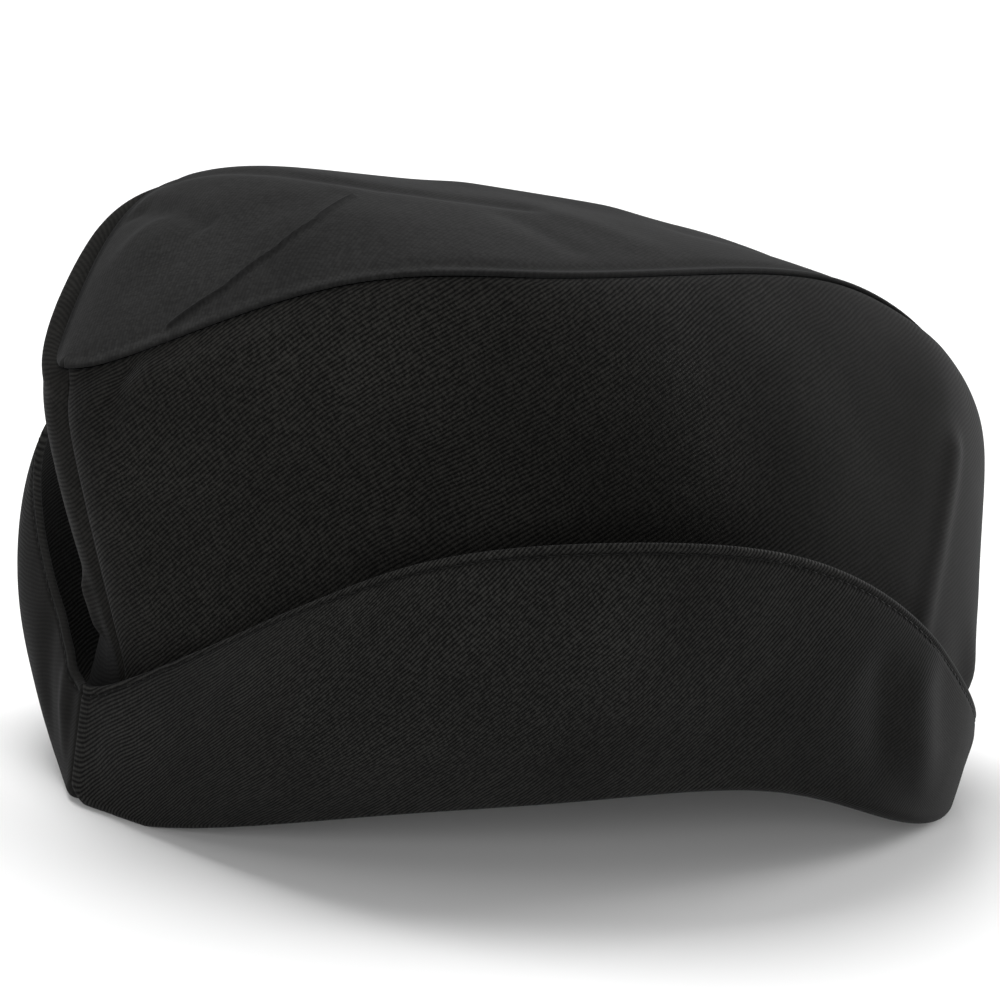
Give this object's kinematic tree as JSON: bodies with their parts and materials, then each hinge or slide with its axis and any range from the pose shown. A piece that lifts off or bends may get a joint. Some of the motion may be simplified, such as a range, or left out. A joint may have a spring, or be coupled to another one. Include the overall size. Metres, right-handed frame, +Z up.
{
  "type": "butcher cap",
  "caption": "Soft side cap of black cotton twill, open as worn, with two side panels, a long top panel and a turn-up folded up round the rim.",
  "frame": {"origin": "on the ground under the middle of the cap's length and width", "axes": "+Z up, -X toward the front of the cap, -Y toward the wearer's left"},
  "size_m": [0.2259, 0.187, 0.1308],
  "materials": {
    "black_twill_side": "matte diagonal twill",
    "black_twill_top": "matte twill with the grain along the cap",
    "black_twill_turn_up": "matte diagonal twill, topstitched near its edge"
  },
  "bodies": {
    "root": {"side_panel_left": "black_twill_side", "side_panel_right": "black_twill_side", "top_panel": "black_twill_top", "turn_up_left": "black_twill_turn_up", "turn_up_right": "black_twill_turn_up"}
  },
  "joints": []
}
